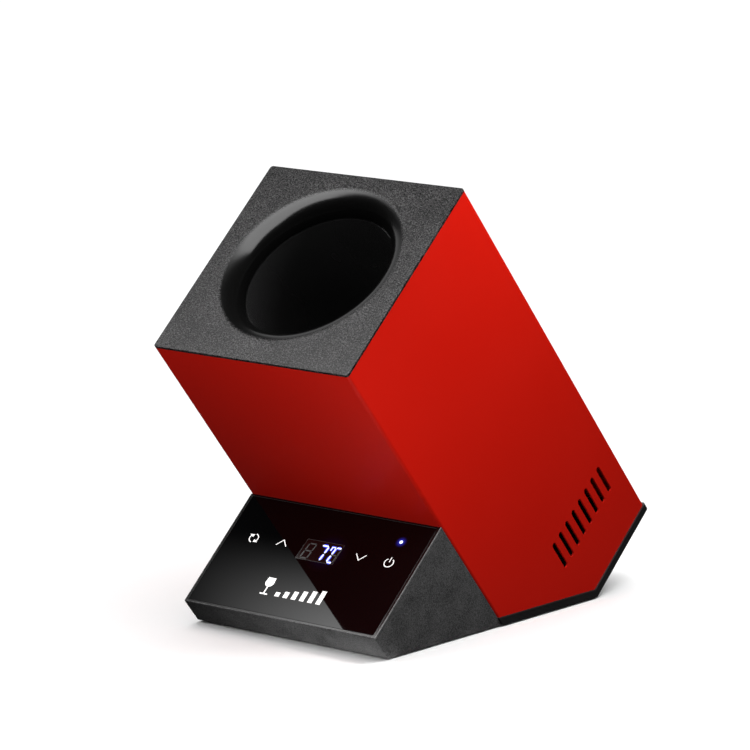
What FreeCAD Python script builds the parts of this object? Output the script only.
import FreeCAD, Part

import math
import os

import Sketcher

# A wine cooler for one bottle. A square steel sleeve leans forward over a wedge that carries
# the touch panel.
#
# Row frame: X across, Y from front to back, Z up, with the floor at z = 0.
# Leaning frame: X across, "deep" from the sleeve's front face to its back face, and "along" the sleeve from
# its lower end to its mouth. Leaning parts are drawn in this frame and turned about X by the lean angle.

Vector = FreeCAD.Vector
doc = FreeCAD.newDocument("wine_cooler")

DIMENSIONS = [
    # alias, millimetres (or degrees, or a count)
    ("body_width", 140.0),
    ("body_depth", 140.0),
    ("lean_angle", 42.0),
    ("top_edge_height", 167.6),
    ("origin_shift", 40.8),
    ("sheet_wall", 1.0),
    ("sheet_bend_radius", 2.0),
    ("sleeve_length", 282.0),
    ("bezel_thickness", 1.5),
    ("flare_radius", 11.7),
    ("mouth_radius", 46.2),
    ("lip_depth", 12.9),
    ("well_radius", 46.0),
    ("well_wall", 1.2),
    ("well_deep", 73.0),
    ("well_bottom", 98.5),
    ("well_floor_thickness", 6.0),
    ("rest_pad_radius", 35.7),
    ("rest_pad_thickness", 3.3),
    ("slot_count", 8.0),
    ("slot_pitch", 8.35),
    ("slot_width", 3.5),
    ("slot_length", 21.8),
    ("slot_middle", 45.0),
    ("exhaust_deep", 93.0),
    ("foot_height", 1.1),
    ("foot_radius", 6.0),
    ("strip_height", 5.9),
    ("base_overhang", 1.0),
    ("end_plate", 5.85),
    ("end_overhang", 0.8),
    ("moulding_wall", 2.2),
    ("panel_drop", 133.2),
    ("panel_length", 80.6),
    ("glass_thickness", 2.0),
    ("glass_rim", 2.25),
    ("board_thickness", 1.6),
    ("fan_size", 70.0),
    ("fan_depth", 20.0),
    ("fan_start", 15.5),
    ("fan_hole_spacing", 60.0),
    ("fin_pitch", 5.0),
    ("fin_thickness", 1.2),
    ("fin_count", 18.0),
    ("fin_start", 36.5),
    ("sink_start", 62.0),
    ("sink_thickness", 7.0),
    ("sink_width", 110.0),
    ("module_width", 40.0),
    ("module_thickness", 3.8),
    ("pad_thickness", 0.3),
]


class Size:
    """A number together with the spreadsheet expression that gives it."""

    def __init__(self, number, text):
        self.number = number
        self.text = text

    def __add__(self, other):
        other = as_size(other)
        return Size(self.number + other.number, f"({self.text} + {other.text})")

    def __sub__(self, other):
        other = as_size(other)
        return Size(self.number - other.number, f"({self.text} - {other.text})")

    def __mul__(self, other):
        other = as_size(other)
        return Size(self.number * other.number, f"({self.text} * {other.text})")

    def __truediv__(self, other):
        other = as_size(other)
        return Size(self.number / other.number, f"({self.text} / {other.text})")

    def __neg__(self):
        return Size(-self.number, f"(0 - {self.text})")

    def __radd__(self, other):
        return as_size(other) + self

    def __rsub__(self, other):
        return as_size(other) - self

    def __rmul__(self, other):
        return as_size(other) * self


def as_size(value):
    return value if isinstance(value, Size) else Size(float(value), f"({float(value)})")


def fill_sheet():
    """Writes the driving dimensions into the spreadsheet and returns them by name."""
    sheet = doc.addObject("Spreadsheet::Sheet", "dims")
    sizes = {}
    for row, (alias, number) in enumerate(DIMENSIONS, start=1):
        sheet.set(f"A{row}", alias)
        sheet.set(f"B{row}", str(number))
        sheet.setAlias(f"B{row}", alias)
        sizes[alias] = Size(number, f"dims.{alias}")
    doc.recompute()
    return sizes


D = fill_sheet()
LEAN = math.radians(D["lean_angle"].number)
LEAN_SIN = Size(math.sin(LEAN), "sin(dims.lean_angle * 1deg)")
LEAN_COS = Size(math.cos(LEAN), "cos(dims.lean_angle * 1deg)")

HALF = D["body_width"] / 2
DEPTH = D["body_depth"]
TOP = D["sleeve_length"] + D["bezel_thickness"]
START_Z = D["top_edge_height"] - TOP * LEAN_COS
PANEL = TOP - D["panel_drop"]
NOSE = -D["panel_length"]
INSIDE = HALF - D["sheet_wall"]
WEDGE_INSIDE = HALF - D["moulding_wall"]
SINK_TOP = D["sink_start"] + D["sink_thickness"]
MODULE_START = SINK_TOP + D["pad_thickness"]
MODULE_END = MODULE_START + D["module_thickness"]
BLOCK_START = MODULE_END + D["pad_thickness"]
BLOCK_END = D["well_bottom"] - D["pad_thickness"]
WELL_FLOOR = D["well_bottom"] + D["well_floor_thickness"]
LIP = TOP - D["lip_depth"]
SEAL_THICKNESS = 1.0
WELL_RIM = LIP - SEAL_THICKNESS
FIT_GAP = 0.5
HOLE_PLAY = 0.05
SCREW_PLAY = 0.2
FOAM_GAP = 0.3
SHEET_METAL = 1.2
OVERCUT = 1.0
CORNERS = ((-1, -1), (1, -1), (1, 1), (-1, 1))

nodes = []


# ---------------------------------------------------------------- placing and naming


def along_at(height, deep):
    """How far along the sleeve a point lies that is this deep and this high above the floor."""
    return (height - START_Z - deep * LEAN_SIN) / LEAN_COS


def deep_at(height, along):
    """How deep a point lies that is this far along the sleeve and this high above the floor."""
    return (height - START_Z - along * LEAN_COS) / LEAN_SIN


def bind(item, name, value):
    item.setExpression(name, as_size(value).text)


def move(item, at):
    for axis, value in zip("xyz", at):
        bind(item, f"Placement.Base.{axis}", value)


def lean(item, deep=0.0, along=0.0, across=0.0):
    """Stands an object, drawn in the leaning frame, in the row frame."""
    item.Placement = FreeCAD.Placement(Vector(), FreeCAD.Rotation(Vector(1, 0, 0), D["lean_angle"].number))
    item.setExpression("Placement.Rotation.Angle", "dims.lean_angle * 1deg")
    deep, along = as_size(deep), as_size(along)
    move(item, (
        across,
        D["origin_shift"] + deep * LEAN_COS - along * LEAN_SIN,
        START_Z + deep * LEAN_SIN + along * LEAN_COS,
    ))


def stand(item):
    """Stands an object that is drawn level, with y counted from the sleeve's lower front line."""
    move(item, (0, D["origin_shift"], 0))


def node(name, item, place=lean, **offset):
    """Names a finished sub-part and puts it where it belongs."""
    if item.TypeId in ("Part::Box", "Part::Cylinder"):
        item = group(f"{name}_alone", [item])
    item.Label = name
    place(item, **offset)
    nodes.append(item)
    return item


# ---------------------------------------------------------------- primitives and booleans


def box(name, low, high):
    """A block between two corners."""
    block = doc.addObject("Part::Box", name)
    low = [as_size(value) for value in low]
    high = [as_size(value) for value in high]
    for prop, start, end in zip(("Length", "Width", "Height"), low, high):
        bind(block, prop, end - start)
    move(block, low)
    return block


TURNS = {
    "z": FreeCAD.Rotation(),
    "x": FreeCAD.Rotation(Vector(0, 1, 0), 90),
    "-y": FreeCAD.Rotation(Vector(1, 0, 0), 90),
}


def rod(name, radius, length, at, axis="z"):
    """A cylinder that starts at a point and runs along an axis."""
    cylinder = doc.addObject("Part::Cylinder", name)
    bind(cylinder, "Radius", radius)
    bind(cylinder, "Height", length)
    cylinder.Placement = FreeCAD.Placement(Vector(), TURNS[axis])
    move(cylinder, at)
    return cylinder


def join(name, items):
    fused = doc.addObject("Part::MultiFuse", name)
    fused.Shapes = items
    fused.Refine = True
    return fused


def group(name, items):
    """Separate solids that share one node."""
    compound = doc.addObject("Part::Compound", name)
    compound.Links = items
    return compound


def cut(name, base, tools):
    result = doc.addObject("Part::Cut", name)
    result.Base = base
    result.Tool = tools[0] if len(tools) == 1 else join(f"{name}_tools", tools)
    result.Refine = True
    return result


def tube(name, outer, inner, length, at, axis="z"):
    wall = rod(f"{name}_outer", outer, length, at, axis)
    bore = rod(f"{name}_inner", inner, length, at, axis)
    return cut(name, wall, [bore])


# ---------------------------------------------------------------- bodies, sketches and features


def new_body(name):
    return doc.addObject("PartDesign::Body", name)


def origin_feature(body, role):
    return next(item for item in body.Origin.OriginFeatures if item.Role == role)


def sketch_on(body, plane, name, offset=0.0):
    sketch = body.newObject("Sketcher::SketchObject", name)
    sketch.AttachmentSupport = [(origin_feature(body, plane), "")]
    sketch.MapMode = "FlatFace"
    bind(sketch, "AttachmentOffset.Base.z", offset)
    return sketch


def hold(sketch, geometry, point, spot):
    """Holds a point of the sketch at its distances from the sketch's origin."""
    for kind, value in zip(("DistanceX", "DistanceY"), spot):
        value = as_size(value)
        number = sketch.addConstraint(Sketcher.Constraint(kind, -1, 1, geometry, point, value.number))
        sketch.setExpression(f"Constraints[{number}]", value.text)


def polygon(sketch, corners):
    """A closed outline with straight sides."""
    corners = [(as_size(across), as_size(up)) for across, up in corners]
    points = [Vector(across.number, up.number, 0) for across, up in corners]
    first = sketch.GeometryCount
    count = len(points)
    for index in range(count):
        sketch.addGeometry(Part.LineSegment(points[index], points[(index + 1) % count]), False)
    for index in range(count):
        following = first + (index + 1) % count
        sketch.addConstraint(Sketcher.Constraint("Coincident", first + index, 2, following, 1))
        hold(sketch, first + index, 1, corners[index])


def circle(sketch, centre, radius):
    radius = as_size(radius)
    spot = Vector(as_size(centre[0]).number, as_size(centre[1]).number, 0)
    index = sketch.addGeometry(Part.Circle(spot, Vector(0, 0, 1), radius.number), False)
    hold(sketch, index, 3, centre)
    number = sketch.addConstraint(Sketcher.Constraint("Radius", index, radius.number))
    sketch.setExpression(f"Constraints[{number}]", radius.text)


def rounded_outline(sketch, centres, radius):
    """A closed outline of arcs round the centres, taken anticlockwise, joined by tangent lines."""
    radius = as_size(radius)
    centres = [(as_size(across), as_size(up)) for across, up in centres]
    spots = [Vector(across.number, up.number, 0) for across, up in centres]
    count = len(spots)
    normals = []
    for index in range(count):
        side = spots[(index + 1) % count] - spots[index]
        normals.append(Vector(side.y, -side.x, 0).normalize())
    first = sketch.GeometryCount
    for index in range(count):
        start = math.atan2(normals[index - 1].y, normals[index - 1].x)
        end = math.atan2(normals[index].y, normals[index].x)
        end += 2 * math.pi if end < start else 0
        rim = Part.Circle(spots[index], Vector(0, 0, 1), radius.number)
        sketch.addGeometry(Part.ArcOfCircle(rim, start, end), False)
    for index in range(count):
        reach = normals[index] * radius.number
        line = Part.LineSegment(spots[index] + reach, spots[(index + 1) % count] + reach)
        sketch.addGeometry(line, False)
    for index in range(count):
        arc, line = first + index, first + count + index
        following = first + (index + 1) % count
        sketch.addConstraint(Sketcher.Constraint("Tangent", arc, 2, line, 1))
        sketch.addConstraint(Sketcher.Constraint("Tangent", line, 2, following, 1))
        hold(sketch, arc, 3, centres[index])
        if index:
            sketch.addConstraint(Sketcher.Constraint("Equal", first, arc))
    number = sketch.addConstraint(Sketcher.Constraint("Radius", first, radius.number))
    sketch.setExpression(f"Constraints[{number}]", radius.text)


def rounded_rectangle(sketch, low, high, radius):
    left, right = low[0] + radius, high[0] - radius
    bottom, top = low[1] + radius, high[1] - radius
    rounded_outline(sketch, [(left, bottom), (right, bottom), (right, top), (left, top)], radius)


def pad(body, sketch, length, midplane=False, downward=False):
    feature = body.newObject("PartDesign::Pad", f"{sketch.Name}_pad")
    feature.Profile = sketch
    bind(feature, "Length", length)
    feature.Midplane = midplane
    feature.Reversed = downward
    return feature


def pocket(body, sketch, length, midplane=False, upward=False):
    """Cuts along the sketch's normal, and raises an error if that removes nothing."""
    doc.recompute()
    before = body.Shape.Volume
    feature = body.newObject("PartDesign::Pocket", f"{sketch.Name}_pocket")
    feature.Profile = sketch
    bind(feature, "Length", length)
    feature.Midplane = midplane
    feature.Reversed = upward
    doc.recompute()
    if body.Shape.Volume > before - 0.01:
        raise RuntimeError(f"{feature.Name} removes nothing")
    return feature


def revolve(body, sketch):
    feature = body.newObject("PartDesign::Revolution", f"{sketch.Name}_revolution")
    feature.Profile = sketch
    feature.ReferenceAxis = (sketch, ["V_Axis"])
    feature.Angle = 360
    return feature


def pattern_row(body, feature, sketch, axis, pitch, count):
    """Repeats a feature in a row along an axis of its sketch."""
    row = body.newObject("PartDesign::LinearPattern", f"{feature.Name}_row")
    row.Originals = [feature]
    row.Direction = (sketch, [axis])
    bind(row, "Length", pitch * (count - 1))
    bind(row, "Occurrences", count)
    body.Tip = row
    return row


def pattern_round(body, feature, sketch, count):
    """Repeats a feature round the normal of its sketch."""
    ring = body.newObject("PartDesign::PolarPattern", f"{feature.Name}_ring")
    ring.Originals = [feature]
    ring.Axis = (sketch, ["N_Axis"])
    ring.Angle = 360
    ring.Occurrences = count
    body.Tip = ring
    return ring


def round_edges(body, radius, wanted):
    """Rounds the edges of the body that pass the test, which gets each edge and its middle point."""
    doc.recompute()
    base = body.Tip
    names = []
    for number, edge in enumerate(base.Shape.Edges, start=1):
        middle = edge.valueAt((edge.FirstParameter + edge.LastParameter) / 2)
        if wanted(edge, middle):
            names.append(f"Edge{number}")
    if not names:
        raise RuntimeError(f"{body.Name} has no such edge")
    feature = body.newObject("PartDesign::Fillet", f"{body.Name}_rounded")
    feature.Base = (base, names)
    bind(feature, "Radius", radius)


def near(value, target, play=0.02):
    return abs(value - as_size(target).number) < play


# ---------------------------------------------------------------- sleeve, bezel and well

EDGE_SOFTENING = 0.5
CABLE_WINDOW_HALF = 16.0
CABLE_WINDOW_LOW = 78.0
CABLE_WINDOW_HIGH = 94.0
CABLE_WINDOW_CORNER = 3.0
PANEL_SCREW_ACROSS = 64.0
PANEL_SCREW_ALONG = (84.0, 138.0)
PANEL_SCREW_RADIUS = 1.5


def make_outer_sleeve():
    body = new_body("outer_sleeve")
    bend, wall = D["sheet_bend_radius"], D["sheet_wall"]
    section = sketch_on(body, "XY_Plane", "sleeve_section")
    rounded_rectangle(section, (-HALF, as_size(0)), (HALF, DEPTH), bend)
    rounded_rectangle(section, (-INSIDE, wall), (INSIDE, DEPTH - wall), bend - wall)
    pad(body, section, D["sleeve_length"])

    margin = 5.0
    floor_line = sketch_on(body, "YZ_Plane", "floor_line")
    polygon(floor_line, [
        (-margin, -margin),
        (deep_at(D["strip_height"], -margin), -margin),
        (-margin, along_at(D["strip_height"], -margin)),
    ])
    pocket(body, floor_line, D["body_width"] + 2 * margin, midplane=True)

    window = sketch_on(body, "XZ_Plane", "cable_window")
    rounded_rectangle(
        window,
        (as_size(-CABLE_WINDOW_HALF), as_size(CABLE_WINDOW_LOW)),
        (as_size(CABLE_WINDOW_HALF), as_size(CABLE_WINDOW_HIGH)),
        as_size(CABLE_WINDOW_CORNER),
    )
    for side in (-1, 1):
        for along in PANEL_SCREW_ALONG:
            circle(window, (side * PANEL_SCREW_ACROSS, along), PANEL_SCREW_RADIUS + SCREW_PLAY)
    pocket(body, window, D["sheet_wall"] * 4, midplane=True)

    slot = sketch_on(body, "YZ_Plane", "exhaust_slot")
    first = D["exhaust_deep"] - D["slot_pitch"] * (D["slot_count"] - 1) / 2
    reach = (D["slot_length"] - D["slot_width"]) / 2
    rounded_outline(
        slot,
        [(first, D["slot_middle"] - reach), (first, D["slot_middle"] + reach)],
        D["slot_width"] / 2,
    )
    opening = pocket(body, slot, D["body_width"] + 2 * margin, midplane=True)
    pattern_row(body, opening, slot, "H_Axis", D["slot_pitch"], D["slot_count"])
    return node("outer_sleeve", body)


def make_top_bezel():
    body = new_body("top_bezel")
    centre = (0, D["well_deep"])
    plate = sketch_on(body, "XY_Plane", "bezel_plate", D["sleeve_length"])
    rounded_rectangle(plate, (-HALF, as_size(0)), (HALF, DEPTH), D["sheet_bend_radius"])
    pad(body, plate, D["bezel_thickness"])

    collar_wall = 2.5
    collar = sketch_on(body, "XY_Plane", "bezel_collar", LIP)
    circle(collar, centre, D["mouth_radius"] + D["flare_radius"] + collar_wall)
    pad(body, collar, D["lip_depth"])

    skirt_wall = 2.0
    skirt_length = 8.0
    skirt_play = 0.25
    skirt = sketch_on(body, "XY_Plane", "bezel_skirt", D["sleeve_length"])
    outside = D["sheet_wall"] + skirt_play
    corner = D["sheet_bend_radius"]
    for inset in (outside, outside + skirt_wall):
        rounded_rectangle(skirt, (inset - HALF, inset), (HALF - inset, DEPTH - inset), corner)
    pad(body, skirt, skirt_length, downward=True)

    mouth = sketch_on(body, "XY_Plane", "bezel_mouth", TOP)
    circle(mouth, centre, D["mouth_radius"])
    pocket(body, mouth, D["lip_depth"] + OVERCUT)
    round_edges(
        body,
        D["flare_radius"],
        lambda edge, middle: near(middle.z, TOP) and isinstance(edge.Curve, Part.Circle)
        and near(edge.Curve.Radius, D["mouth_radius"]),
    )
    round_edges(
        body,
        EDGE_SOFTENING,
        lambda edge, middle: near(middle.z, TOP)
        and not (isinstance(edge.Curve, Part.Circle) and edge.Curve.Radius > D["mouth_radius"].number),
    )
    return node("top_bezel", body)


def make_bottle_well():
    body = new_body("bottle_well")
    inner, outer = D["well_radius"], D["well_radius"] + D["well_wall"]
    flange = 56.0
    pad_recess = 2.5
    floor_round, heel_round = 4.0, 3.0
    recess = D["rest_pad_radius"] + 0.3
    section = sketch_on(body, "XZ_Plane", "well_section")
    polygon(section, [
        (0, D["well_bottom"]),
        (outer, D["well_bottom"]),
        (outer, WELL_RIM - D["well_wall"]),
        (flange, WELL_RIM - D["well_wall"]),
        (flange, WELL_RIM),
        (inner, WELL_RIM),
        (inner, WELL_FLOOR),
        (recess, WELL_FLOOR),
        (recess, WELL_FLOOR - pad_recess),
        (0, WELL_FLOOR - pad_recess),
    ])
    revolve(body, section)
    round_edges(
        body,
        floor_round,
        lambda edge, middle: near(middle.z, WELL_FLOOR) and isinstance(edge.Curve, Part.Circle)
        and near(edge.Curve.Radius, inner),
    )
    round_edges(
        body,
        heel_round,
        lambda edge, middle: near(middle.z, D["well_bottom"]) and isinstance(edge.Curve, Part.Circle),
    )
    node("bottle_well", body, deep=D["well_deep"])

    pad_start = WELL_FLOOR - pad_recess
    disc = rod("rest_disc", D["rest_pad_radius"], D["rest_pad_thickness"], (0, 0, pad_start))
    groove_count, first_groove, groove_pitch, groove_width, groove_depth = 4, 6.0, 8.0, 3.0, 1.0
    grooves = []
    for number in range(groove_count):
        inner_edge = first_groove + groove_pitch * number
        at = (0, 0, pad_start + D["rest_pad_thickness"] - groove_depth)
        ring = tube(f"rest_groove_{number}", inner_edge + groove_width, inner_edge, 2 * groove_depth, at)
        grooves.append(ring)
    node("bottle_rest_pad", cut("rest_pad", disc, grooves), deep=D["well_deep"])

    seal = tube("seal_ring", flange, inner + 2, SEAL_THICKNESS, (0, 0, WELL_RIM))
    node("well_seal_ring", seal, deep=D["well_deep"])


# ---------------------------------------------------------------- insulation and cold side

BLOCK_HALF_ACROSS = 32.0
BLOCK_HALF_DEEP = 25.0
CLAMP_ACROSS = 27.0
NECK_HALF_ACROSS = 48.0
NECK_HALF_DEEP = 45.0
FOAM_START = 100.0
CLAMP_RADIUS = 2.0
CLAMP_TIP = 90.0


def make_insulation():
    """Two mirrored foam halves, split down the middle, that fill the sleeve round the well."""
    play = FIT_GAP
    foam_end = WELL_RIM - D["well_wall"] - FOAM_GAP
    deep = D["well_deep"]
    half_split = as_size(0.05)
    screw_room, screw_reach = 5.0, 4.0
    for name, side in (("insulation_left", -1), ("insulation_right", 1)):
        def across(near_middle, outer):
            return (near_middle, outer) if side > 0 else (-outer, -near_middle)
        low, high = across(half_split, INSIDE - play)
        column = box(
            f"{name}_column",
            (low, D["sheet_wall"] + play, FOAM_START),
            (high, DEPTH - D["sheet_wall"] - play, foam_end),
        )
        low, high = across(half_split, as_size(NECK_HALF_ACROSS))
        neck = box(
            f"{name}_neck",
            (low, deep - NECK_HALF_DEEP, BLOCK_START),
            (high, deep + NECK_HALF_DEEP, FOAM_START),
        )
        well_space = rod(
            f"{name}_well_space",
            D["well_radius"] + D["well_wall"] + FOAM_GAP,
            TOP,
            (0, deep, D["well_bottom"] - FOAM_GAP),
        )
        block_space = box(
            f"{name}_block_space",
            (-BLOCK_HALF_ACROSS - FOAM_GAP, deep - BLOCK_HALF_DEEP - FOAM_GAP, BLOCK_START - OVERCUT),
            (BLOCK_HALF_ACROSS + FOAM_GAP, deep + BLOCK_HALF_DEEP + FOAM_GAP, D["well_bottom"]),
        )
        screw_space = box(
            f"{name}_screw_space",
            (side * PANEL_SCREW_ACROSS - screw_room, 0, PANEL_SCREW_ALONG[1] - screw_room),
            (side * PANEL_SCREW_ACROSS + screw_room, screw_reach, PANEL_SCREW_ALONG[1] + screw_room),
        )
        foam = join(f"{name}_block", [column, neck])
        node(name, cut(f"{name}_foam", foam, [well_space, block_space, screw_space]))


def make_cold_side():
    deep = D["well_deep"]
    block = box(
        "block",
        (-BLOCK_HALF_ACROSS, deep - BLOCK_HALF_DEEP, BLOCK_START),
        (BLOCK_HALF_ACROSS, deep + BLOCK_HALF_DEEP, BLOCK_END),
    )
    clamp_hole_end = CLAMP_TIP + 0.5
    holes = []
    for side in (-1, 1):
        at = (side * CLAMP_ACROSS, deep, BLOCK_START - OVERCUT)
        depth = clamp_hole_end - BLOCK_START + OVERCUT
        holes.append(rod(f"clamp_hole_{side + 1}", CLAMP_RADIUS + HOLE_PLAY, depth, at))
    sensor_along, sensor_depth, sensor_radius = 94.0, 12.0, 1.5
    sensor_at = (BLOCK_HALF_ACROSS - sensor_depth, deep, sensor_along)
    holes.append(rod("sensor_hole", sensor_radius + 0.1, sensor_depth + OVERCUT, sensor_at, "x"))
    node("cold_block", cut("drilled_block", block, holes))
    node("thermistor", rod("sensor", sensor_radius, sensor_depth - 1, sensor_at, "x"))

    half = D["module_width"] / 2
    pads = [
        box("pad_hot", (-half, deep - half, SINK_TOP), (half, deep + half, MODULE_START)),
        box("pad_cold", (-half, deep - half, MODULE_END), (half, deep + half, BLOCK_START)),
        box(
            "pad_well",
            (-BLOCK_HALF_ACROSS, deep - BLOCK_HALF_DEEP, BLOCK_END),
            (BLOCK_HALF_ACROSS, deep + BLOCK_HALF_DEEP, D["well_bottom"]),
        ),
    ]
    node("thermal_pads", group("pads", pads))

    plate = 0.8
    ceramics = [
        box("ceramic_hot", (-half, deep - half, MODULE_START), (half, deep + half, MODULE_START + plate)),
        box("ceramic_cold", (-half, deep - half, MODULE_END - plate), (half, deep + half, MODULE_END)),
    ]
    node("peltier_ceramics", group("ceramics", ceramics))

    pellet = 2.0
    pellet_pitch = 4.8
    per_side = 8
    pellets = []
    for column in range(per_side):
        for line in range(per_side):
            x = (column - (per_side - 1) / 2) * pellet_pitch - pellet / 2
            y = deep + (line - (per_side - 1) / 2) * pellet_pitch - pellet / 2
            pellets.append(box(
                f"pellet_{column}_{line}",
                (x, y, MODULE_START + plate),
                (x + pellet, y + pellet, MODULE_END - plate),
            ))
    node("peltier_pellets", group("pellets", pellets))

    rim, notch_half = 24.0, 6.0
    inside = half + 0.2
    below, above = SINK_TOP - OVERCUT, BLOCK_START + OVERCUT
    frame = box("gasket_frame", (-rim, deep - rim, SINK_TOP), (rim, deep + rim, BLOCK_START))
    window = box("gasket_window", (-inside, deep - inside, below), (inside, deep + inside, above))
    notch_front = deep - rim - OVERCUT
    lead_notch = box("gasket_notch", (-notch_half, notch_front, below), (notch_half, deep - half, above))
    node("peltier_gasket", cut("gasket", frame, [window, lead_notch]))


# ---------------------------------------------------------------- heat sink, fan and their fixings

FAN_HOLE_RADIUS = 2.15
FAN_SCREW_RADIUS = 1.85
WASHER_THICKNESS = 1.5
FIN_RELIEF = 5.2


def make_heat_sink():
    body = new_body("heat_sink")
    deep, half_fin = D["well_deep"], D["fin_thickness"] / 2
    pitches_in_front = 5.5
    fin_overlap = 0.5
    first = deep - D["fin_pitch"] * pitches_in_front
    last = first + D["fin_pitch"] * (D["fin_count"] - 1)
    half = D["sink_width"] / 2
    plate = sketch_on(body, "XY_Plane", "sink_plate", D["sink_start"])
    polygon(plate, [
        (-half, first - half_fin),
        (half, first - half_fin),
        (half, last + half_fin),
        (-half, last + half_fin),
    ])
    pad(body, plate, D["sink_thickness"])
    fin = sketch_on(body, "XY_Plane", "sink_fin", D["fin_start"])
    polygon(fin, [
        (-half, first - half_fin),
        (half, first - half_fin),
        (half, first + half_fin),
        (-half, first + half_fin),
    ])
    fin_pad = pad(body, fin, D["sink_start"] - D["fin_start"] + fin_overlap)
    pattern_row(body, fin_pad, fin, "V_Axis", D["fin_pitch"], D["fin_count"])
    relief = sketch_on(body, "XY_Plane", "fin_relief", D["sink_start"])
    through = sketch_on(body, "XY_Plane", "clamp_through", SINK_TOP)
    for side in (-1, 1):
        circle(relief, (side * CLAMP_ACROSS, deep), FIN_RELIEF)
        circle(through, (side * CLAMP_ACROSS, deep), CLAMP_RADIUS + 0.3)
    pocket(body, relief, D["sink_start"] - D["fin_start"] + OVERCUT)
    pocket(body, through, D["sink_thickness"] + OVERCUT)
    node("heat_sink", body)

    screws, washers = [], []
    head_height, head_radius, washer_radius = 2.5, 3.5, 4.5
    under_head = D["sink_start"] - WASHER_THICKNESS
    for side in (-1, 1):
        at = (side * CLAMP_ACROSS, deep)
        seat = (*at, under_head)
        shank = rod(f"clamp_shank_{side + 1}", CLAMP_RADIUS, CLAMP_TIP - under_head, seat)
        head = rod(f"clamp_head_{side + 1}", head_radius, head_height, (*at, under_head - head_height))
        screws.append(join(f"clamp_screw_{side + 1}", [shank, head]))
        bore = CLAMP_RADIUS + HOLE_PLAY
        washers.append(tube(f"washer_{side + 1}", washer_radius, bore, WASHER_THICKNESS, seat))
    node("clamp_screws", group("clamp_pair", screws))
    node("clamp_washers", group("washer_pair", washers))


def make_brackets():
    """The frame that carries the heat sink, and the corner tabs that the base is screwed to."""
    deep, wall = D["well_deep"], SHEET_METAL
    reach = INSIDE - 0.1
    low_edge, top = SINK_TOP - 5, SINK_TOP + wall
    front, back = deep - NECK_HALF_DEEP, DEPTH - D["sheet_wall"] - 1
    plate = box("bracket_plate", (-reach, front, SINK_TOP), (reach, back, top))
    flanges = [
        box("bracket_left", (-reach, front, low_edge), (-reach + wall, back, top)),
        box("bracket_right", (reach - wall, front, low_edge), (reach, back, top)),
    ]
    half_across, half_deep = 38.0, 32.0
    window = box(
        "bracket_window",
        (-half_across, deep - half_deep, SINK_TOP - OVERCUT),
        (half_across, deep + half_deep, top + OVERCUT),
    )
    node("sink_bracket", cut("bracket", join("bracket_blank", [plate, *flanges]), [window]))

    tab_reach, tab_half, tab_start, tab_end = 12.0, 5.0, 1.0, 14.0
    tabs = []
    for side in (-1, 1):
        for number, spot in enumerate(BASE_SCREW_DEEP):
            name = f"{side + 1}_{number}"
            front, back = spot - tab_half, spot + tab_half
            low = -reach if side < 0 else reach - tab_reach
            foot_end = (low + tab_reach, back, tab_start + wall)
            foot = box(f"tab_foot_{name}", (low, front, tab_start), foot_end)
            edge = low if side < 0 else low + tab_reach - wall
            leg = box(f"tab_leg_{name}", (edge, front, tab_start), (edge + wall, back, tab_end))
            at = (side * BASE_SCREW_ACROSS, spot, 0)
            hole = rod(f"tab_hole_{name}", BASE_SCREW_RADIUS + HOLE_PLAY, tab_start + wall + OVERCUT, at)
            tabs.append(cut(f"tab_{name}", join(f"tab_blank_{name}", [foot, leg]), [hole]))
    node("corner_brackets", group("tabs", tabs))


ROTOR_HUB = 14.0
ROTOR_TIP = 32.6
BLADE_COUNT = 7
BLADE_MIDDLE = 8.5
SHAFT_RADIUS = 1.5
BEARING_HOUSING_RADIUS = 5.0
BEARING_RADIUS = 3.5


def make_fan_frame():
    body = new_body("fan_frame")
    half = D["fan_size"] / 2
    centre = (0, 0)
    outline = sketch_on(body, "XY_Plane", "frame_outline")
    corner, thinnest_wall = as_size(4), 1.4
    rounded_rectangle(outline, (-half, -half), (half, half), corner)
    circle(outline, centre, half - thinnest_wall)
    pad(body, outline, D["fan_depth"])

    strut_half, strut_thickness, strut_count = 1.5, 3.0, 4
    strut = sketch_on(body, "XY_Plane", "frame_strut", D["fan_depth"] - strut_thickness - 0.5)
    polygon(strut, [(0, -strut_half), (half - 1, -strut_half), (half - 1, strut_half), (0, strut_half)])
    strut_pad = pad(body, strut, strut_thickness)
    pattern_round(body, strut_pad, strut, strut_count)

    disc_radius, disc_thickness = 13.5, 2.0
    disc_start = D["fan_depth"] - disc_thickness - 1
    disc = sketch_on(body, "XY_Plane", "frame_disc", disc_start)
    circle(disc, centre, disc_radius)
    pad(body, disc, disc_thickness)
    housing_start = 5.0
    housing = sketch_on(body, "XY_Plane", "bearing_housing", housing_start)
    circle(housing, centre, BEARING_HOUSING_RADIUS)
    pad(body, housing, disc_start - housing_start + 1)
    bearing_bore = sketch_on(body, "XY_Plane", "bearing_bore", housing_start)
    circle(bearing_bore, centre, BEARING_RADIUS + HOLE_PLAY)
    pocket(body, bearing_bore, disc_start - housing_start, upward=True)

    holes = sketch_on(body, "XY_Plane", "frame_holes")
    spacing = D["fan_hole_spacing"] / 2
    for across, deep in CORNERS:
        circle(holes, (across * spacing, deep * spacing), FAN_HOLE_RADIUS)
    pocket(body, holes, D["fan_depth"] + OVERCUT, upward=True)
    node("fan_frame", body, deep=D["exhaust_deep"], along=D["fan_start"])

    bearing_start = housing_start + 0.5
    length = disc_start - bearing_start - 0.5
    bearing = tube("bearing", BEARING_RADIUS, SHAFT_RADIUS + 0.04, length, (0, 0, bearing_start))
    node("fan_bearing", bearing, deep=D["exhaust_deep"], along=D["fan_start"])


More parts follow.
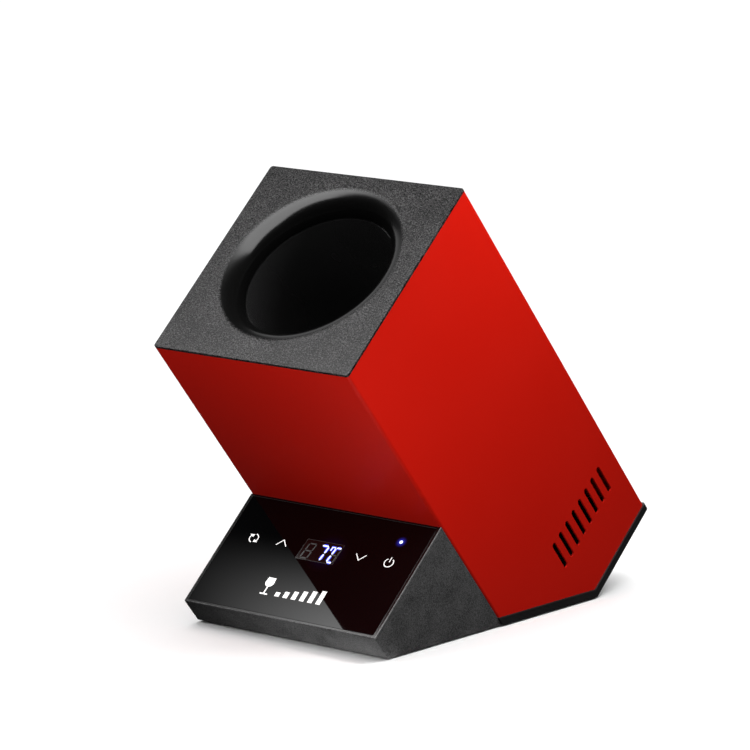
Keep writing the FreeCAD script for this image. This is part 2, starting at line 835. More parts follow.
def make_fan_motor():
    """Four laminated poles on a hub ring, their windings, and the magnet and shaft that turn."""
    core_low, core_high = 8.0, 12.0
    core_radius, hub_radius, pole_half = 10.8, 6.6, 2.0
    height = core_high - core_low
    hub = rod("core_hub", hub_radius, height, (0, 0, core_low))
    disc = rod("core_disc", core_radius, height, (0, 0, core_low))
    gaps = []
    for across, deep in CORNERS:
        low = [pole_half if axis > 0 else -9.0 for axis in (across, deep)]
        high = [9.0 if axis > 0 else -pole_half for axis in (across, deep)]
        ends = (*low, core_low - OVERCUT), (*high, core_high + OVERCUT)
        gaps.append(box(f"core_gap_{across}_{deep}", *ends))
    bore = rod("core_bore", BEARING_HOUSING_RADIUS + HOLE_PLAY, core_high, (0, 0, core_low - OVERCUT))
    core = cut("core", join("core_blank", [cut("core_poles", disc, gaps), hub]), [bore])
    node("fan_stator", core, deep=D["exhaust_deep"], along=D["fan_start"])

    near_end, far_end, coil_half = hub_radius + 0.2, 8.8, 3.4
    coil_rise, pole_play = 1.6, 0.1
    coils = []
    for number in range(4):
        winding = box(
            f"winding_{number}",
            (near_end, -coil_half, core_low - coil_rise),
            (far_end, coil_half, core_high + coil_rise),
        )
        pole = box(
            f"pole_{number}",
            (near_end - OVERCUT, -pole_half - pole_play, core_low - pole_play),
            (far_end + OVERCUT, pole_half + pole_play, core_high + pole_play),
        )
        coil = cut(f"coil_{number}", winding, [pole])
        coil.Placement.Rotation = FreeCAD.Rotation(Vector(0, 0, 1), 90 * number)
        coils.append(coil)
    node("fan_coils", group("coil_ring", coils), deep=D["exhaust_deep"], along=D["fan_start"])

    magnet_outer, magnet_inner, magnet_start, magnet_length = 12.6, 11.3, 6.5, 7.0
    magnet = tube("magnet", magnet_outer, magnet_inner, magnet_length, (0, 0, magnet_start))
    node("fan_magnet", magnet, deep=D["exhaust_deep"], along=D["fan_start"])
    shaft_start, shaft_length = 2.0, 14.0
    shaft = rod("shaft", SHAFT_RADIUS, shaft_length, (0, 0, shaft_start))
    node("fan_shaft", shaft, deep=D["exhaust_deep"], along=D["fan_start"])


def blade_section(radius, pitch_angle, chord, thickness):
    """A thin tilted section across a blade at one radius, with the blade pointing along X."""
    rise = math.radians(pitch_angle)
    along_chord = Vector(0, math.cos(rise), math.sin(rise))
    across_chord = Vector(0, -math.sin(rise), math.cos(rise))
    middle = Vector(radius, 0, BLADE_MIDDLE)
    corners = []
    for chord_side, face_side in CORNERS:
        along_step = along_chord * (chord * chord_side / 2)
        corners.append(middle + along_step + across_chord * (thickness * face_side / 2))
    return Part.makePolygon([*corners, corners[0]])


def make_fan_rotor():
    hub_wall, hub_start, hub_length, hub_floor, hub_round = 1.35, 1.5, 13.0, 1.5, 1.0
    boss_radius, boss_length = 3.0, 2.3
    hub = Part.makeCylinder(ROTOR_HUB, hub_length, Vector(0, 0, hub_start))
    inside = Part.makeCylinder(ROTOR_HUB - hub_wall, hub_length, Vector(0, 0, hub_start + hub_floor))
    hub = hub.cut(inside)
    boss = Part.makeCylinder(boss_radius, boss_length, Vector(0, 0, hub_start + OVERCUT))
    bore = Part.makeCylinder(SHAFT_RADIUS, boss_length + OVERCUT, Vector(0, 0, 2))
    rim_length = 2 * math.pi * ROTOR_HUB
    face_edges = [edge for edge in hub.Edges if near(edge.BoundBox.ZMax, hub_start)]
    hub = hub.makeFillet(hub_round, [edge for edge in face_edges if near(edge.Length, rim_length)])
    sections = [
        blade_section(ROTOR_HUB - 0.8, 42, 15.0, 1.4),
        blade_section((ROTOR_HUB + ROTOR_TIP) / 2, 33, 18.0, 1.1),
        blade_section(ROTOR_TIP, 26, 20.0, 0.9),
    ]
    blade = Part.makeLoft(sections, True, False)
    reach = Part.makeCylinder(ROTOR_TIP, D["fan_depth"].number)
    reach = reach.cut(Part.makeCylinder(ROTOR_HUB - 0.7, D["fan_depth"].number))
    blade = blade.common(reach)
    blades = []
    for number in range(BLADE_COUNT):
        copy = blade.copy()
        copy.rotate(Vector(), Vector(0, 0, 1), 360 * number / BLADE_COUNT)
        blades.append(copy)
    rotor = doc.addObject("Part::Feature", "fan_rotor")
    rotor.Shape = hub.fuse([boss, *blades]).cut(bore).removeSplitter()
    node("fan_rotor", rotor, deep=D["exhaust_deep"], along=D["fan_start"])


def make_fan_screws():
    screws = []
    spacing = D["fan_hole_spacing"] / 2
    length, head_radius, head_height = 28.0, 2.8, 1.8
    for across, deep in CORNERS:
        at = (across * spacing, deep * spacing)
        shank = rod(f"fan_shank_{across}_{deep}", FAN_SCREW_RADIUS, length, (*at, 0))
        head = rod(f"fan_head_{across}_{deep}", head_radius, head_height, (*at, -head_height))
        screws.append(join(f"fan_screw_{across}_{deep}", [shank, head]))
    node("fan_screws", group("fan_screw_set", screws), deep=D["exhaust_deep"], along=D["fan_start"])


# ---------------------------------------------------------------- base moulding

BASE_SCREW_ACROSS = 61.0
BASE_SCREW_DEEP = (84.0, 132.0)
BASE_SCREW_RADIUS = 1.5
JACK_ACROSS = -44.0
JACK_DEEP = 122.0
FOOT_ACROSS = 56.0
BASE_FEET_Y = (-28.0, 36.0)
WEDGE_FOOT_Y = -134.0
FOOT_SINK = 1.5
FOOT_PLAY = 0.2
HEAD_SINK = 1.9
FLOOR_PLATE = 2.5
JACK_COLLAR_RADIUS = 4.6


def make_base_cover():
    body = new_body("base_moulding")
    foot, strip = D["foot_height"], D["strip_height"]
    outer_face = -D["end_plate"]
    rear = DEPTH + D["end_overhang"]
    section = sketch_on(body, "YZ_Plane", "base_section")
    polygon(section, [
        (rear, 0),
        (rear, outer_face),
        (deep_at(foot, outer_face), outer_face),
        (0, along_at(foot, 0)),
        (0, along_at(strip, 0)),
        (deep_at(strip, 0), 0),
    ])
    pad(body, section, D["body_width"] + 2 * D["base_overhang"], midplane=True)
    side = HALF + D["base_overhang"]
    corner_round, strip_round = 1.6, 0.6
    round_edges(
        body,
        corner_round,
        lambda edge, middle: [
            near(middle.y, rear), near(middle.z, outer_face), near(abs(middle.x), side),
        ].count(True) > 1,
    )
    round_edges(
        body,
        strip_round,
        lambda edge, middle: near(abs(middle.x), side) and middle.z > 1
        and near(middle.z, along_at(strip, middle.y)),
    )

    plate, tray_front, tray_corner = FLOOR_PLATE, 78.5, 2.0
    tray = sketch_on(body, "XY_Plane", "base_tray")
    wall = D["moulding_wall"]
    tray_low, tray_high = (wall - HALF, as_size(tray_front)), (HALF - wall, DEPTH - wall)
    rounded_rectangle(tray, tray_low, tray_high, as_size(tray_corner))
    pocket(body, tray, D["end_plate"] - plate)

    boss_radius, boss_sink, boss_top, head_room = 4.5, 0.5, 0.9, 3.3
    bosses = sketch_on(body, "XY_Plane", "base_bosses", outer_face + plate - boss_sink)
    bores = sketch_on(body, "XY_Plane", "base_bores", outer_face)
    heads = sketch_on(body, "XY_Plane", "base_heads", outer_face)
    for side_sign in (-1, 1):
        for spot in BASE_SCREW_DEEP:
            at = (side_sign * BASE_SCREW_ACROSS, spot)
            circle(bosses, at, boss_radius)
            circle(bores, at, BASE_SCREW_RADIUS + SCREW_PLAY)
            circle(heads, at, head_room)
    pad(body, bosses, D["end_plate"] - plate + boss_sink + boss_top)
    circle(bores, (JACK_ACROSS, JACK_DEEP), JACK_COLLAR_RADIUS + 0.1)
    pocket(body, bores, D["end_plate"] + 2 * OVERCUT, upward=True)
    pocket(body, heads, HEAD_SINK, upward=True)

    slot = sketch_on(body, "XY_Plane", "intake_slot", outer_face)
    slot_half, slot_rib, slot_radius = 31.0, 2.0, 1.5
    first_slot, slot_pitch, slot_rows = 82.0, as_size(5.5), as_size(8)
    for side_sign in (-1, 1):
        ends = sorted((side_sign * (slot_rib + slot_radius), side_sign * (slot_half - slot_radius)))
        rounded_outline(slot, [(end, first_slot) for end in ends], slot_radius)
    opening = pocket(body, slot, D["end_plate"] + OVERCUT, upward=True)
    pattern_row(body, opening, slot, "V_Axis", slot_pitch, slot_rows)
    doc.recompute()

    recesses = []
    for side_sign in (-1, 1):
        for number, y in enumerate(BASE_FEET_Y):
            recesses.append(foot_recess(f"base_foot_{side_sign + 1}_{number}", side_sign * FOOT_ACROSS, y))
    lean(body)
    return node("base_cover", cut("base_with_recesses", body, recesses), place=keep)


def keep(item):
    """The object is already drawn where it stands."""


def foot_recess(name, across, y):
    at = (across, D["origin_shift"] + y, D["foot_height"] - OVERCUT)
    return rod(name, D["foot_radius"] + FOOT_PLAY, FOOT_SINK + OVERCUT, at)


def make_feet():
    feet = []
    for side in (-1, 1):
        for number, y in enumerate((WEDGE_FOOT_Y, *BASE_FEET_Y)):
            at = (side * FOOT_ACROSS, y, 0)
            height = D["foot_height"] + FOOT_SINK
            feet.append(rod(f"foot_{side + 1}_{number}", D["foot_radius"], height, at))
    node("rubber_feet", group("feet", feet), place=stand)


def make_base_screws():
    """Pan-head screws with a cross recess, sunk in the base plate."""
    length, head_radius, head_height = 12.0, 3.0, 1.7
    cross_half, bar_half, cross_depth = 1.8, 0.35, 0.9
    seat = HEAD_SINK - D["end_plate"]
    face = seat - head_height
    screws = []
    for side in (-1, 1):
        for number, spot in enumerate(BASE_SCREW_DEEP):
            name = f"{side + 1}_{number}"
            across = side * BASE_SCREW_ACROSS
            shank = rod(f"base_shank_{name}", BASE_SCREW_RADIUS, length, (across, spot, seat))
            head = rod(f"base_head_{name}", head_radius, head_height, (across, spot, face))
            bars = []
            for turn, (wide, high) in enumerate(((cross_half, bar_half), (bar_half, cross_half))):
                bars.append(box(
                    f"base_bar_{name}_{turn}",
                    (across - wide, spot - high, face - 0.1),
                    (across + wide, spot + high, face + cross_depth),
                ))
            screws.append(cut(f"base_screw_{name}", join(f"base_blank_{name}", [shank, head]), bars))
    node("base_screws", group("base_screw_set", screws))


def make_dc_jack():
    """The supply socket: a housing on the base plate, its collar through the plate, and its pin."""
    across, deep = JACK_ACROSS, JACK_DEEP
    half, housing_end = 5.5, 9.0
    collar_length, bore_radius, bore_depth, socket_radius, pin_radius = 3.0, 2.8, 10.0, 1.05, 1.0
    pin_start, pin_length = 1.2, 13.0
    outer_face = -D["end_plate"]
    inner_face = outer_face + FLOOR_PLATE
    housing = box(
        "jack_housing",
        (across - half, deep - half, inner_face),
        (across + half, deep + half, housing_end),
    )
    collar = rod("jack_collar", JACK_COLLAR_RADIUS, collar_length, (across, deep, outer_face))
    bore = rod("jack_bore", bore_radius, bore_depth + OVERCUT, (across, deep, outer_face - OVERCUT))
    pin_socket = rod("jack_pin_socket", socket_radius, 2 * bore_depth, (across, deep, outer_face))
    node("dc_jack", cut("jack", join("jack_blank", [housing, collar]), [bore, pin_socket]))
    node("jack_pin", rod("pin", pin_radius, pin_length, (across, deep, outer_face + pin_start)))


# ---------------------------------------------------------------- control panel wedge

LEDGE = 1.5
TAPE = 0.3
GLASS_SINK = 0.2
OPENING_ACROSS = 55.0
OPENING_DEEP = (-66.0, -10.5)
OPENING_CORNER = 2.0
GLASS_CORNER = 1.1
BOARD_ACROSS = 63.0
BOARD_DEEP = (-70.0, -8.0)
BOARD_BOSS_ACROSS = 59.5
BOARD_BOSS_DEEP = (-64.0, -15.0)
BOSS_RADIUS = 3.0
PILOT_RADIUS = 1.25
PILOT_DEPTH = 6.0
BOARD_HOLE_RADIUS = 1.5
BOARD_SCREW_RADIUS = 1.2
BOARD_HEAD_RADIUS = 2.5
BOARD_HEAD_HEIGHT = 1.6
GLASS_NOSE_RIM = 1.8
GLASS_HINGE_RIM = 1.2
GLASS_PLAY = 0.1
LUG_LENGTH = 7.0

GLASS_TOP = PANEL - GLASS_SINK
GLASS_BOTTOM = GLASS_TOP - D["glass_thickness"]
TAPE_BOTTOM = GLASS_BOTTOM - TAPE
LEDGE_BOTTOM = TAPE_BOTTOM - LEDGE
BOSS_LENGTH = 6.2
BOARD_TOP = LEDGE_BOTTOM - BOSS_LENGTH
BOARD_BOTTOM = BOARD_TOP - D["board_thickness"]


def make_panel_housing():
    body = new_body("panel_housing")
    wall, foot, rim_round = D["moulding_wall"], D["foot_height"], 0.7
    section = sketch_on(body, "YZ_Plane", "wedge_section")
    polygon(section, [
        (0, PANEL),
        (NOSE, PANEL),
        (NOSE, along_at(foot, NOSE)),
        (0, along_at(foot, 0)),
    ])
    pad(body, section, D["body_width"], midplane=True)
    round_edges(
        body,
        rim_round,
        lambda edge, middle: middle.y < -1 and (near(middle.z, PANEL) or near(middle.y, NOSE)),
    )

    hollow = sketch_on(body, "YZ_Plane", "wedge_hollow")
    front, below_floor = NOSE + wall, -2.0
    polygon(hollow, [
        (OVERCUT, LEDGE_BOTTOM),
        (front, LEDGE_BOTTOM),
        (front, along_at(below_floor, front)),
        (OVERCUT, along_at(below_floor, OVERCUT)),
    ])
    pocket(body, hollow, 2 * WEDGE_INSIDE, midplane=True)

    bosses = sketch_on(body, "XY_Plane", "board_bosses", BOARD_TOP)
    pilots = sketch_on(body, "XY_Plane", "board_pilots", BOARD_TOP)
    for side in (-1, 1):
        for deep in BOARD_BOSS_DEEP:
            circle(bosses, (side * BOARD_BOSS_ACROSS, deep), BOSS_RADIUS)
            circle(pilots, (side * BOARD_BOSS_ACROSS, deep), PILOT_RADIUS)
    pad(body, bosses, BOSS_LENGTH + 0.1)
    pocket(body, pilots, PILOT_DEPTH, upward=True)

    lugs = sketch_on(body, "XZ_Plane", "screw_lugs")
    lug_holes = sketch_on(body, "XZ_Plane", "lug_holes")
    lug_inner, lug_outer, lug_half = 60.2, WEDGE_INSIDE.number + 0.4, 4.0
    for side in (-1, 1):
        for along in PANEL_SCREW_ALONG:
            low, high = sorted((side * lug_inner, side * lug_outer))
            bottom, top = along - lug_half, along + lug_half
            polygon(lugs, [(low, bottom), (high, bottom), (high, top), (low, top)])
            circle(lug_holes, (side * PANEL_SCREW_ACROSS, along), PANEL_SCREW_RADIUS + HOLE_PLAY)
    pad(body, lugs, LUG_LENGTH)
    pocket(body, lug_holes, LUG_LENGTH - 0.5, upward=True)

    recess = sketch_on(body, "XY_Plane", "glass_recess", PANEL)
    glass_edge = HALF - D["glass_rim"] + GLASS_PLAY
    rounded_rectangle(
        recess,
        (-glass_edge, NOSE + GLASS_NOSE_RIM - GLASS_PLAY),
        (glass_edge, as_size(GLASS_PLAY - GLASS_HINGE_RIM)),
        as_size(GLASS_CORNER + GLASS_PLAY),
    )
    pocket(body, recess, PANEL - TAPE_BOTTOM)
    opening = sketch_on(body, "XY_Plane", "panel_opening", PANEL)
    rounded_rectangle(
        opening,
        (as_size(-OPENING_ACROSS), as_size(OPENING_DEEP[0])),
        (as_size(OPENING_ACROSS), as_size(OPENING_DEEP[1])),
        as_size(OPENING_CORNER),
    )
    pocket(body, opening, PANEL - LEDGE_BOTTOM + OVERCUT)
    return node("panel_housing", body)


def make_glass():
    body = new_body("control_glass")
    half = HALF - D["glass_rim"]
    outline = sketch_on(body, "XY_Plane", "glass_outline", GLASS_BOTTOM)
    rounded_rectangle(
        outline,
        (-half, NOSE + GLASS_NOSE_RIM),
        (half, as_size(-GLASS_HINGE_RIM)),
        as_size(GLASS_CORNER),
    )
    pad(body, outline, D["glass_thickness"])
    polished_edge = 0.3
    round_edges(body, polished_edge, lambda edge, middle: near(middle.z, GLASS_TOP))
    node("control_glass", body)

    inset, margin = 0.5, 1.0
    low = (-half + inset, NOSE + GLASS_NOSE_RIM + inset)
    high = (half - inset, as_size(-GLASS_HINGE_RIM - inset))
    sheet = box("tape_sheet", (*low, TAPE_BOTTOM), (*high, GLASS_BOTTOM))
    hole = box(
        "tape_hole",
        (-OPENING_ACROSS - margin, OPENING_DEEP[0] - margin, TAPE_BOTTOM - OVERCUT),
        (OPENING_ACROSS + margin, OPENING_DEEP[1] + margin, GLASS_BOTTOM + OVERCUT),
    )
    node("glass_tape", cut("tape", sheet, [hole]))


def touch_springs():
    """A coil of wire behind each key, from the board to the glass, in short runs joined by arcs."""
    turns, steps, wire_radius, coil_radius = 3, 8, 0.4, 3.0
    low = BOARD_TOP.number + wire_radius + HOLE_PLAY
    rise = GLASS_BOTTOM.number - wire_radius - HOLE_PLAY - low
    coils = []
    for across in KEY_ACROSS:
        points = []
        for step in range(turns * steps + 1):
            angle = 2 * math.pi * step / steps
            points.append(Vector(
                across + coil_radius * math.cos(angle),
                KEY_DEEP + coil_radius * math.sin(angle),
                low + rise * step / (turns * steps),
            ))
        coils.append(lead(points, wire_radius))
    springs = doc.addObject("Part::Feature", "springs")
    springs.Shape = Part.makeCompound(coils)
    return springs


DISPLAY_ACROSS = (-12.5, 16.0)
DISPLAY_DEEP = (-38.0, -22.5)
KEY_ACROSS = (-49.2, -28.0, 28.8, 49.6)
KEY_DEEP = -29.7
LED_SPOT = (49.6, -14.4)
LED_RADIUS = 1.5
LAMP_GAP = 0.3
BUZZER_SPOT = (36.0, -50.0)


def make_control_board():
    board = box(
        "board",
        (-BOARD_ACROSS, BOARD_DEEP[0], BOARD_BOTTOM),
        (BOARD_ACROSS, BOARD_DEEP[1], BOARD_TOP),
    )
    length = 6.0
    holes, screws = [], []
    for side in (-1, 1):
        for number, deep in enumerate(BOARD_BOSS_DEEP):
            at = (side * BOARD_BOSS_ACROSS, deep)
            name = f"{side + 1}_{number}"
            thickness = D["board_thickness"] + 2 * OVERCUT
            hole_at = (*at, BOARD_BOTTOM - OVERCUT)
            holes.append(rod(f"board_hole_{name}", BOARD_HOLE_RADIUS, thickness, hole_at))
            shank = rod(f"board_shank_{name}", BOARD_SCREW_RADIUS, length, (*at, BOARD_BOTTOM))
            head_start = (*at, BOARD_BOTTOM - BOARD_HEAD_HEIGHT)
            head = rod(f"board_head_{name}", BOARD_HEAD_RADIUS, BOARD_HEAD_HEIGHT, head_start)
            screws.append(join(f"board_screw_{name}", [shank, head]))
    node("control_pcb", cut("drilled_board", board, holes))
    node("pcb_screws", group("board_screw_set", screws))

    display = box(
        "display",
        (DISPLAY_ACROSS[0], DISPLAY_DEEP[0], BOARD_TOP),
        (DISPLAY_ACROSS[1], DISPLAY_DEEP[1], GLASS_BOTTOM - LAMP_GAP),
    )
    node("display_module", display)
    lamp = rod("lamp", LED_RADIUS, GLASS_BOTTOM - BOARD_TOP - LAMP_GAP, (*LED_SPOT, BOARD_TOP))
    node("status_led", lamp)

    node("touch_springs", touch_springs())

    chips = []
    for number, (left, front, width, length, height) in enumerate((
        (-30, -50, 9, 9, 1.4),
        (20, -36, 10, 6, 1.5),
        (-4, -50, 10, 4, 1.5),
        (-29, -22, 18, 5, 4.0),
    )):
        low = (left, front, BOARD_BOTTOM - height)
        chips.append(box(f"chip_{number}", low, (left + width, front + length, BOARD_BOTTOM)))
    node("control_chips", group("chips", chips))
    can_radius, can_height, vent_radius = 4.75, 4.0, 1.0
    can = rod("buzzer_can", can_radius, can_height, (*BUZZER_SPOT, BOARD_BOTTOM - can_height))
    vent = rod("buzzer_vent", vent_radius, 2 * OVERCUT, (*BUZZER_SPOT, BOARD_BOTTOM - can_height - OVERCUT))
    node("buzzer", cut("buzzer_body", can, [vent]))


# ---------------------------------------------------------------- wedge floor and power board (drawn level)

FLOOR_FRONT = -144.6
FLOOR_BACK = -45.5
FLOOR_THICKNESS = 2.0
POWER_FRONT = -134.0
POWER_BACK = -76.0
POWER_HALF = 45.0
POWER_BOTTOM = 6.0
POWER_HOLES = ((-41, -130), (41, -130), (41, -80), (-41, -80))
POWER_TOP = POWER_BOTTOM + D["board_thickness"]
HEADER_Y = -81.0
HEADER_HEIGHT = 7.0
RIBBON_ACROSS = -20.0
RIBBON_Y = -121.5
RIBBON_SOCKET = 5.0


def make_panel_floor():
    foot = D["foot_height"]
    top = foot + FLOOR_THICKNESS
    half = WEDGE_INSIDE - 0.2
    plate = box("floor_plate", (-half, FLOOR_FRONT, foot), (half, FLOOR_BACK, top))
    posts, cuts = [], []
    for number, spot in enumerate(POWER_HOLES):
        posts.append(rod(f"post_{number}", BOSS_RADIUS, POWER_BOTTOM - foot, (*spot, foot)))
        cuts.append(rod(f"post_pilot_{number}", PILOT_RADIUS, PILOT_DEPTH, (*spot, top)))
    for side in (-1, 1):
        at = (side * FOOT_ACROSS, WEDGE_FOOT_Y, foot - OVERCUT)
        cuts.append(rod(f"wedge_foot_{side + 1}", D["foot_radius"] + FOOT_PLAY, FOOT_SINK + OVERCUT, at))
    node("panel_floor", cut("wedge_floor", join("floor_blank", [plate, *posts]), cuts), place=stand)


def make_power_board():
    board = box(
        "power_plate",
        (-POWER_HALF, POWER_FRONT, POWER_BOTTOM),
        (POWER_HALF, POWER_BACK, POWER_TOP),
    )
    length = 4.5
    holes, screws = [], []
    for number, spot in enumerate(POWER_HOLES):
        thickness = D["board_thickness"] + 2 * OVERCUT
        hole_at = (*spot, POWER_BOTTOM - OVERCUT)
        holes.append(rod(f"power_hole_{number}", BOARD_HOLE_RADIUS, thickness, hole_at))
        shank = rod(f"power_shank_{number}", BOARD_SCREW_RADIUS, length, (*spot, POWER_TOP - length))
        head = rod(f"power_head_{number}", BOARD_HEAD_RADIUS, BOARD_HEAD_HEIGHT, (*spot, POWER_TOP))
        screws.append(join(f"power_screw_{number}", [shank, head]))
    node("power_pcb", cut("drilled_power", board, holes), place=stand)
    node("power_pcb_screws", group("power_screw_set", screws), place=stand)


def make_capacitors_and_inductor():
    can_radius, can_height = 5.0, 14.0
    cans = []
    for number, spot in enumerate(((-30, -92), (-17, -92), (-30, -106))):
        cans.append(rod(f"can_{number}", can_radius, can_height, (*spot, POWER_TOP)))
    node("power_capacitors", group("cans", cans), place=stand)

    ring_radius, winding_radius, plate_thickness = 7.0, 3.0, 0.6
    ring_across, ring_y = 4.0, -96.0
    ring = doc.addObject("Part::Torus", "inductor_ring")
    bind(ring, "Radius1", ring_radius)
    bind(ring, "Radius2", winding_radius)
    move(ring, (ring_across, ring_y, POWER_TOP + winding_radius + HOLE_PLAY))
    reach = ring_radius + winding_radius
    seat = box(
        "inductor_seat",
        (ring_across - reach, ring_y - reach, POWER_TOP),
        (ring_across + reach, ring_y + reach, POWER_TOP + plate_thickness),
    )
    node("power_inductor", join("inductor", [ring, seat]), place=stand)


def make_power_transistors():
    """Two transistors on their legs, in front of a finned aluminium plate."""
    body_width, body_start, body_end = 10.0, 3.0, 18.0
    front, back = -101.0, -96.5
    first_leg, leg_pitch, leg_width = 2.1, 2.54, 0.8
    leg_front, leg_back = -99.5, -98.9
    packages = []
    for number, across in enumerate((20, 33)):
        tab = box(
            f"package_{number}",
            (across, front, POWER_TOP + body_start),
            (across + body_width, back, POWER_TOP + body_end),
        )
        legs = []
        for leg in range(3):
            start = across + first_leg + leg_pitch * leg
            legs.append(box(
                f"leg_{number}_{leg}",
                (start, leg_front, POWER_TOP),
                (start + leg_width, leg_back, POWER_TOP + body_start + 0.5),
            ))
        packages.append(join(f"transistor_{number}", [tab, *legs]))
    node("power_transistors", group("transistors", packages), place=stand)

    plate_left, plate_right, plate_back, top = 18.0, 45.0, -93.4, POWER_TOP + 22
    first_fin, fin_pitch, fin_width, fin_count, fin_back = 18.6, 6.2, 1.2, 5, -87.0
    blades = [box("cooler_plate", (plate_left, back + 0.1, POWER_TOP), (plate_right, plate_back, top))]
    for number in range(fin_count):
        start = first_fin + fin_pitch * number
        low = (start, plate_back - 0.2, POWER_TOP)
        blades.append(box(f"cooler_fin_{number}", low, (start + fin_width, fin_back, top)))
    node("transistor_heat_sink", join("cooler", blades), place=stand)


def make_wire_headers():
    """Three plugs for the leads and the socket of the ribbon."""
    half_wide, front, back, height = 5.0, HEADER_Y - 3.0, HEADER_Y + 3.0, HEADER_HEIGHT
    headers = []
    for number, across in enumerate((-16, -2, 12)):
        low = (across - half_wide, front, POWER_TOP)
        headers.append(box(f"header_{number}", low, (across + half_wide, back, POWER_TOP + height)))
    half_ribbon, half_deep = 9.0, 2.5
    headers.append(box(
        "header_ribbon",
        (RIBBON_ACROSS - half_ribbon, RIBBON_Y - half_deep, POWER_TOP),
        (RIBBON_ACROSS + half_ribbon, RIBBON_Y + half_deep, POWER_TOP + RIBBON_SOCKET),
    ))
    node("wire_headers", group("headers", headers), place=stand)


# ---------------------------------------------------------------- leads

LEAD_SHARE = 0.45
VOLUME_PLAY = 0.02
TOUCHING = 0.02


def route(points):
    """Straight runs joined by arcs that touch both of their runs."""
    edges = []
    start = points[0]
    for before, corner, after in zip(points, points[1:], points[2:]):
        into = (corner - before).normalize()
        out = (after - corner).normalize()
        half_turn = into.getAngle(out) / 2
        reach = LEAD_SHARE * min((corner - before).Length, (after - corner).Length)
        radius = reach / math.tan(half_turn)
        inward = (out - into).normalize()
        middle = corner + inward * (radius / math.cos(half_turn) - radius)
        edges.append(Part.LineSegment(start, corner - into * reach).toShape())
        edges.append(Part.Arc(corner - into * reach, middle, corner + out * reach).toShape())
        start = corner + out * reach
    edges.append(Part.LineSegment(start, points[-1]).toShape())
    return Part.Wire(edges)


def lead(points, radius):
    """A round lead along a route."""
    path = route(points)
    rim = Part.Wire(Part.makeCircle(radius, points[0], points[1] - points[0]))
    solid = path.makePipeShell([rim], True, False)
    expected = math.pi * radius ** 2 * path.Length
    if abs(solid.Volume - expected) > VOLUME_PLAY * expected:
        raise RuntimeError("a lead's volume is not its section times its length")
    return solid


def row_to_lean(across, y, z):
    """A point drawn level, in the leaning frame."""
    up = z - START_Z.number
    return Vector(
        across,
        y * LEAN_COS.number + up * LEAN_SIN.number,
        up * LEAN_COS.number - y * LEAN_SIN.number,
    )


def drop(across):
    """The last run of a lead, straight down into its plug on the power board."""
    header_top = POWER_TOP.number + HEADER_HEIGHT + TOUCHING
    over_header = header_top + 9
    return [row_to_lean(across, HEADER_Y, over_header), row_to_lean(across, HEADER_Y, header_top)]


def under_sink(across):
    """Past the heat sink's lower front edge and up the front of the sleeve."""
    return [Vector(across, 41, 33.5), Vector(across, 35, 41), Vector(across, 29, 52), Vector(across, 22, 63)]


def over_window(across):
    """Through the sleeve's cable window and down behind the control board."""
    return [Vector(across, -1, 86.5), Vector(across, -8, 98), *drop(across)]


def make_leads():
    fan_across, fan_radius = 12.0, 1.1
    fan_cable = doc.addObject("Part::Feature", "fan_cable")
    fan_cable.Shape = lead(
        [
            Vector(fan_across, 57.9, 31), Vector(fan_across, 50, 31), *under_sink(fan_across),
            Vector(fan_across, 12, 78), *over_window(fan_across),
        ],
        fan_radius,
    )
    node("fan_lead", fan_cable)

    module_radius = 0.8
    pair = []
    for across in (-3.4, -0.6):
        pair.append(lead(
            [
                Vector(across, 52.9, 71.7), Vector(across, 26, 71.9), Vector(across, 12, 80),
                Vector(across, -1, 87.5), Vector(across, -8, 98), *drop(across),
            ],
            module_radius,
        ))
    module_cable = doc.addObject("Part::Feature", "module_cable")
    module_cable.Shape = Part.makeCompound(pair)
    node("peltier_lead", module_cable)

    supply_across, supply_radius = -14.0, 1.3
    supply_cable = doc.addObject("Part::Feature", "supply_cable")
    supply_cable.Shape = lead(
        [
            Vector(JACK_ACROSS, JACK_DEEP, 9 + TOUCHING), Vector(JACK_ACROSS, JACK_DEEP, 15),
            Vector(JACK_ACROSS, 112, 21), Vector(JACK_ACROSS, 92, 26), Vector(JACK_ACROSS, 70, 30),
            Vector(JACK_ACROSS + 4, 52, 31.5), *under_sink(-36),
            Vector(supply_across, 11, 79), *over_window(supply_across),
        ],
        supply_radius,
    )
    node("jack_lead", supply_cable)


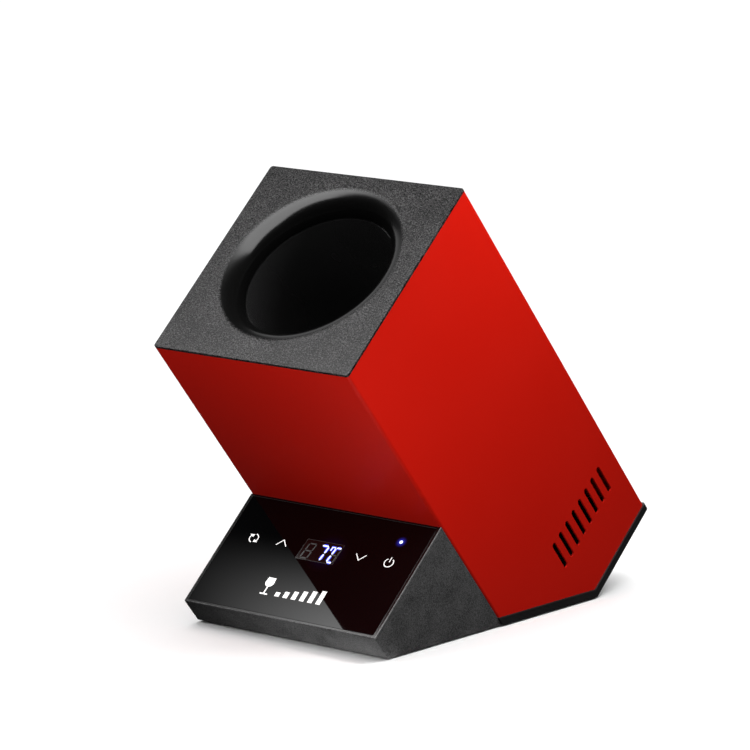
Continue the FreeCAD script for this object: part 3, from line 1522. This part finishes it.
def make_ribbon():
    """A flat cable from the control board's socket down to the power board."""
    thickness, width, first_run, last_run = 0.9, 14.0, 7.0, 10.0
    socket_deep, socket_height = -19.5, 4.0
    board_end = Vector(RIBBON_ACROSS, socket_deep, (BOARD_BOTTOM - socket_height - TOUCHING).number)
    power_end = row_to_lean(RIBBON_ACROSS, RIBBON_Y, POWER_TOP.number + RIBBON_SOCKET + TOUCHING)
    up = Vector(0, LEAN_SIN.number, LEAN_COS.number)
    points = [board_end, board_end - Vector(0, 0, first_run), power_end + up * last_run, power_end]
    corners = []
    for across_side, deep_side in CORNERS:
        corners.append(board_end + Vector(width * across_side / 2, thickness * deep_side / 2, 0))
    profile = Part.makePolygon([*corners, corners[0]])
    strip = doc.addObject("Part::Feature", "ribbon")
    strip.Shape = route(points).makePipeShell([profile], True, False)
    node("ribbon_cable", strip)


def make_panel_screws():
    """Screws from inside the sleeve into the wedge's lugs."""
    head_radius, head_height = 2.8, 1.6
    seat = D["sheet_wall"] + 0.01
    screws = []
    for side in (-1, 1):
        for number, along in enumerate(PANEL_SCREW_ALONG):
            name = f"{side + 1}_{number}"
            across = side * PANEL_SCREW_ACROSS
            shank_at = (across, D["sheet_wall"], along)
            shank = rod(f"panel_shank_{name}", PANEL_SCREW_RADIUS, LUG_LENGTH, shank_at, "-y")
            head_at = (across, seat + head_height, along)
            head = rod(f"panel_head_{name}", head_radius, head_height + 0.01, head_at, "-y")
            screws.append(join(f"panel_screw_{name}", [shank, head]))
    node("panel_screws", group("panel_screw_set", screws))


# ---------------------------------------------------------------- the whole part

make_outer_sleeve()
make_top_bezel()
make_bottle_well()
make_insulation()
make_cold_side()
make_heat_sink()
make_brackets()
make_fan_frame()
make_fan_motor()
make_fan_rotor()
make_fan_screws()
make_base_cover()
make_base_screws()
make_feet()
make_dc_jack()
make_panel_housing()
make_glass()
make_control_board()
make_panel_floor()
make_power_board()
make_capacitors_and_inductor()
make_power_transistors()
make_wire_headers()
make_leads()
make_ribbon()
make_panel_screws()
doc.recompute()

for item in doc.Objects:
    for state in item.State:
        if state in ("Invalid", "Error"):
            raise RuntimeError(f"{item.Name} is {state}")

whole = FreeCAD.BoundBox()
os.makedirs("parts", exist_ok=True)
for item in nodes:
    shape = item.Shape
    if shape.isNull() or not shape.isValid() or not shape.Solids:
        raise RuntimeError(f"{item.Label} has no sound solid")
    whole.add(shape.BoundBox)
    shape.exportStep(f"parts/{item.Label}.step")
print(f"{len(nodes)} nodes, {whole.XLength:.2f} x {whole.YLength:.2f} x {whole.ZLength:.2f} mm")
print(f"middle at x {whole.Center.x:.3f}, y {whole.Center.y:.3f}, lowest z {whole.ZMin:.3f}")
